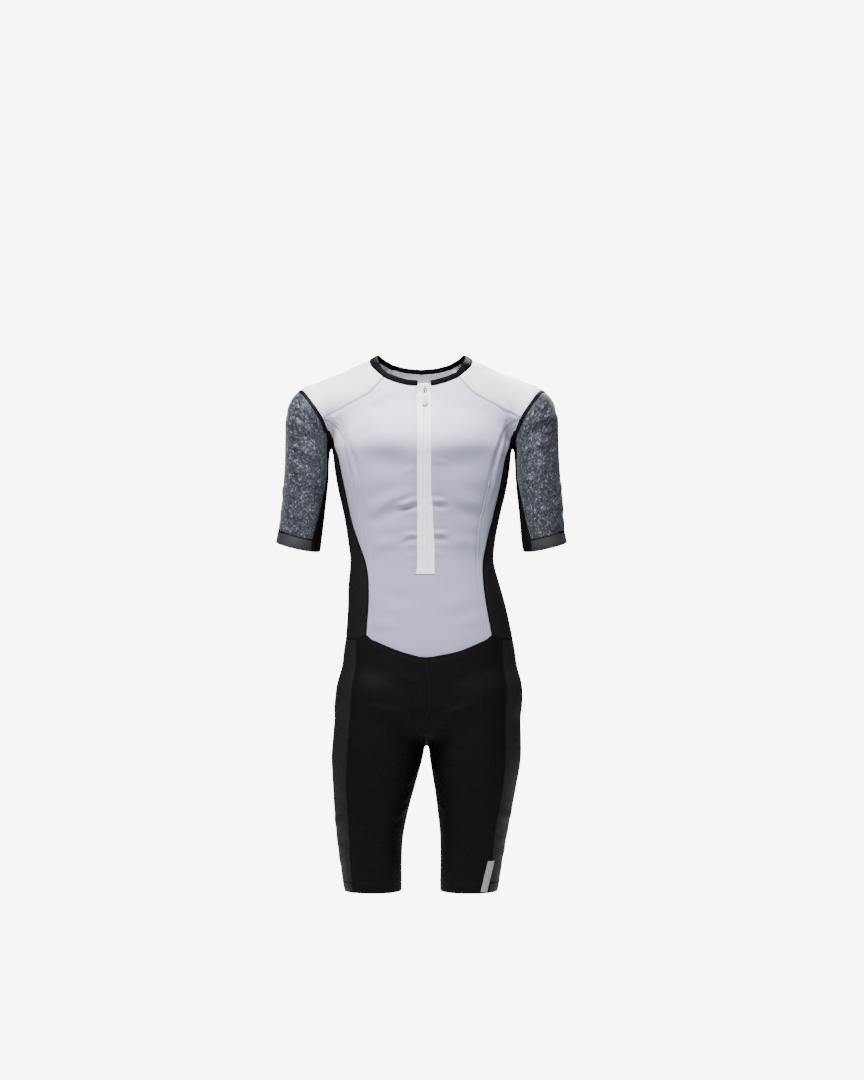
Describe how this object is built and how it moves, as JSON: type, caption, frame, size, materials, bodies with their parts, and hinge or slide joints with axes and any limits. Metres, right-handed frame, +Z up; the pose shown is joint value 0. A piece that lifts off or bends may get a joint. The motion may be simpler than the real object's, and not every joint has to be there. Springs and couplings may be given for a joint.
{
  "type": "triathlon suit",
  "caption": "Short-sleeved one-piece triathlon suit with a front zip, panelled body and thigh-length legs, filled out as worn with open neck, cuffs and hems.",
  "frame": {"origin": "middle of the neck base, level with the tops of the shoulders, where the wearer's shoulders hold the suit up", "axes": "+Z up along the body, -Y towards the front with the zip, +X towards the wearer's left side"},
  "size_m": [0.5195, 0.2253, 0.9625],
  "materials": {
    "white_knit": "smooth stretch knit with a soft sheen",
    "black_knit": "matt black stretch knit",
    "charcoal_knit": "dark stretch knit with a low sheen",
    "printed_knit": "stretch knit with a fine slate, black and pale grey speckle",
    "cuff_knit": "charcoal elastic band",
    "binding": "black elastic neck binding",
    "zip_tape": "white woven zip tape",
    "reflective": "silver reflective film",
    "slider_metal": "dark coated metal",
    "tab_rubber": "soft white rubber"
  },
  "bodies": {
    "suit": {"shoulder_left": "white_knit", "side_strip_left": "white_knit", "side_panel_left": "charcoal_knit", "shorts_front_left": "black_knit", "shorts_back_left": "black_knit", "leg_side_left": "charcoal_knit", "armhole_band_left": "black_knit", "sleeve_left": "printed_knit", "cuff_left": "cuff_knit", "sleeve_under_left": "black_knit", "zip_tape_left": "zip_tape", "shoulder_right": "white_knit", "side_strip_right": "white_knit", "side_panel_right": "charcoal_knit", "shorts_front_right": "black_knit", "shorts_back_right": "black_knit", "leg_side_right": "charcoal_knit", "armhole_band_right": "black_knit", "sleeve_right": "printed_knit", "cuff_right": "cuff_knit", "sleeve_under_right": "black_knit", "zip_tape_right": "zip_tape", "front_panel": "white_knit", "back_panel": "white_knit", "neck_binding": "binding", "zip_chain": "zip_tape", "zip_foot_patch": "zip_tape", "zip_garage": "zip_tape", "reflective_strip": "reflective", "zip_slider": "slider_metal"},
    "pull": {"pull_tab": "tab_rubber"}
  },
  "joints": [
    {"name": "pull_tab_swing", "type": "hinge", "parent": "suit", "child": "pull", "pos_m": [-0.002, -0.07362, -0.05713], "axis": [-1, 0, 0], "range_deg": [0, 150]}
  ]
}
